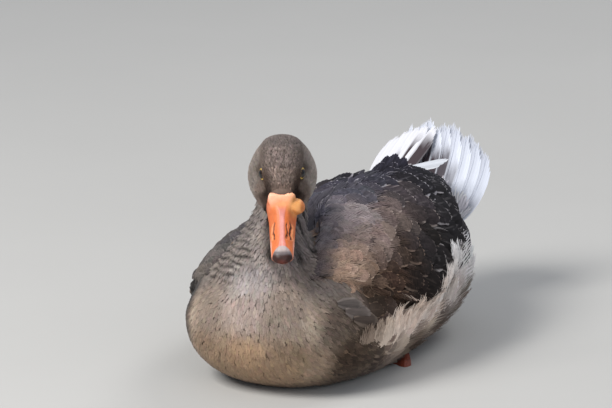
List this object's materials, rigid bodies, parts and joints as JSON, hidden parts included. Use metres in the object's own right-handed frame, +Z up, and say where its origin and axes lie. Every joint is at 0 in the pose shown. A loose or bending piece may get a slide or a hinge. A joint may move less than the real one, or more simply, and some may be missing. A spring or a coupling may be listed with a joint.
{
  "type": "resting domestic goose model",
  "caption": "Life-size still model of a grey farm goose resting on its belly, head bowed, neck drawn in, wings folded and tail cocked up.",
  "frame": {"origin": "point on the flat of the belly, under the middle of the body, on the floor", "axes": "+Z up, -Y forwards along the trunk towards the breast, +X towards the goose's left"},
  "size_m": [0.2334, 0.4554, 0.2444],
  "materials": {
    "feathers_grey": "soft matt contour feathers, grey-brown",
    "feathers_slate": "wing and back feathers, slate to dark brown with pale rims",
    "feathers_white": "white tail feathers with grey-brown centres",
    "bill_horn": "orange waxy skin over horn, pale nail with dark tip",
    "eye": "dark brown wet eye",
    "foot_skin": "orange scaly skin and webs"
  },
  "bodies": {
    "root": {"head": "feathers_grey", "neck": "feathers_grey", "trunk": "feathers_grey", "wing_left": "feathers_slate", "wing_right": "feathers_slate", "tail": "feathers_white", "bill_upper": "bill_horn", "bill_lower": "bill_horn", "bill_knob": "bill_horn", "eye_left": "eye", "eye_right": "eye", "leg_left": "foot_skin", "leg_right": "foot_skin", "foot_left": "foot_skin", "foot_right": "foot_skin"}
  },
  "joints": []
}
